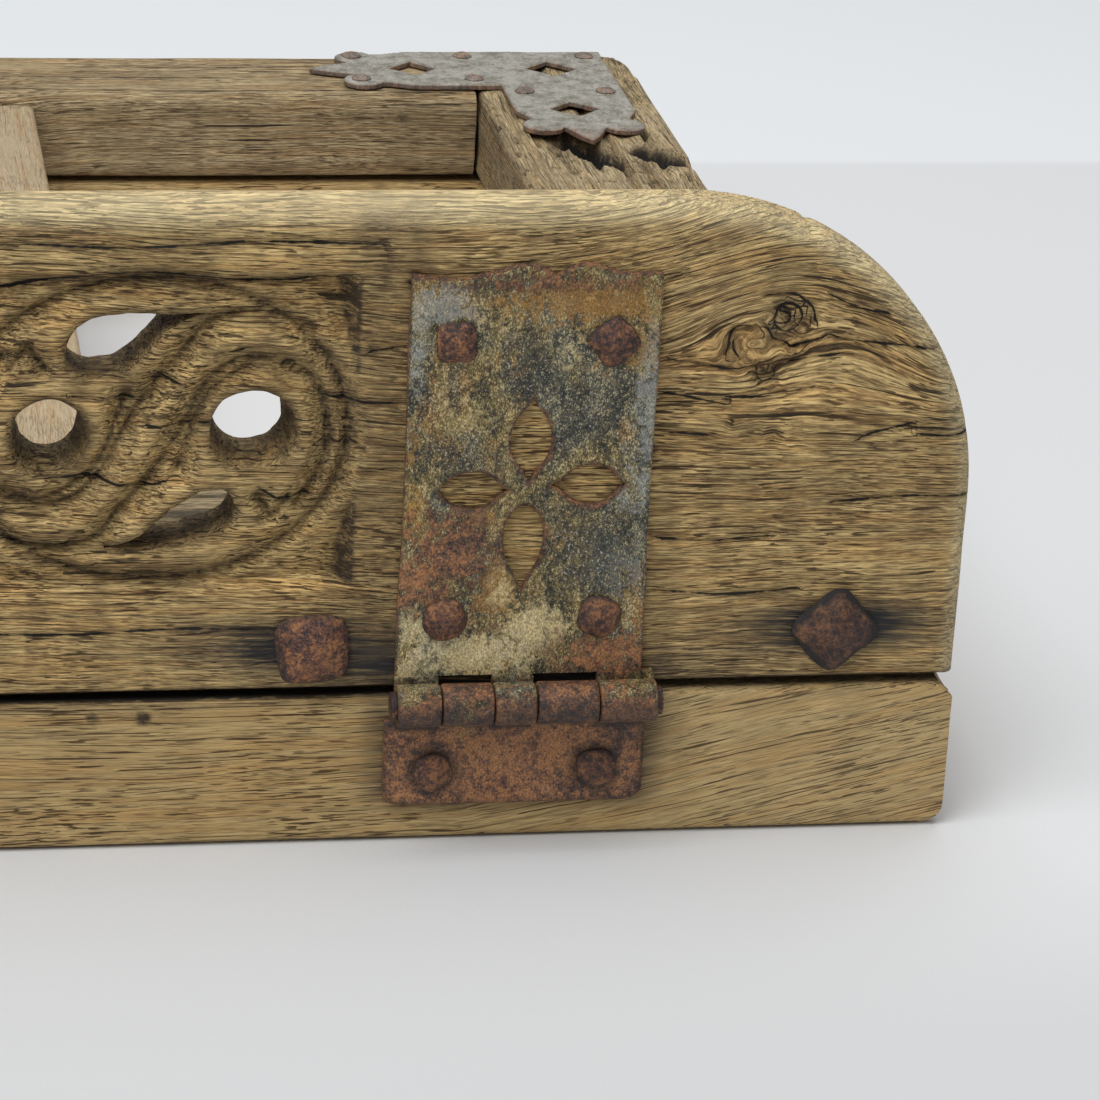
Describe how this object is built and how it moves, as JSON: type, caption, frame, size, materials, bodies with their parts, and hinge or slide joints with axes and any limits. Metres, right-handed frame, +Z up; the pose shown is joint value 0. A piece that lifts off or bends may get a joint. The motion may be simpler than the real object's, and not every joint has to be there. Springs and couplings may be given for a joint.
{
  "type": "donation box",
  "caption": "Low open oak collecting box: a base frame and a hinged lid frame that carries a tall carved and pierced front board, with iron strap hinges and corner brackets.",
  "frame": {"origin": "centre of the footprint, on the table under the base frame", "axes": "+X along the carved front to the right, +Y away from the carved front, +Z up"},
  "size_m": [0.476, 0.4454, 0.155],
  "materials": {
    "oak_board": "weathered, carved",
    "oak_lid": "weathered, worm-eaten",
    "oak_base": "planed, dry",
    "oak_divider": "sawn, pale",
    "oak_pegs": "cleft",
    "patina_iron": "forged plate with old mottled patina and rust",
    "rusty_iron": "rusted",
    "grey_iron": "dull grey plate"
  },
  "bodies": {
    "base": {"base_front_rail": "oak_base", "base_back_rail": "oak_base", "base_end_rail_left": "oak_base", "base_end_rail_right": "oak_base", "base_pegs": "oak_pegs", "hinge_short_leaf_left": "rusty_iron", "hinge_short_leaf_right": "rusty_iron", "short_leaf_nails_left": "rusty_iron", "short_leaf_nails_right": "rusty_iron", "hinge_pin_left": "rusty_iron", "hinge_pin_right": "rusty_iron"},
    "lid": {"carved_front_board": "oak_board", "lid_front_rail": "oak_lid", "lid_back_rail": "oak_lid", "lid_end_rail_left": "oak_lid", "lid_end_rail_right": "oak_lid", "lid_divider": "oak_divider", "lid_pegs": "oak_pegs", "board_nails": "rusty_iron", "hinge_long_leaf_left": "patina_iron", "hinge_long_leaf_right": "patina_iron", "long_leaf_nails_left": "rusty_iron", "long_leaf_nails_right": "rusty_iron", "corner_bracket_left": "grey_iron", "corner_bracket_right": "grey_iron", "bracket_nails_left": "rusty_iron", "bracket_nails_right": "rusty_iron"}
  },
  "joints": [
    {"name": "lid_hinge", "type": "hinge", "parent": "base", "child": "lid", "pos_m": [0, -0.21775, 0.037], "axis": [1, 0, 0], "range_deg": [0, 105]}
  ]
}
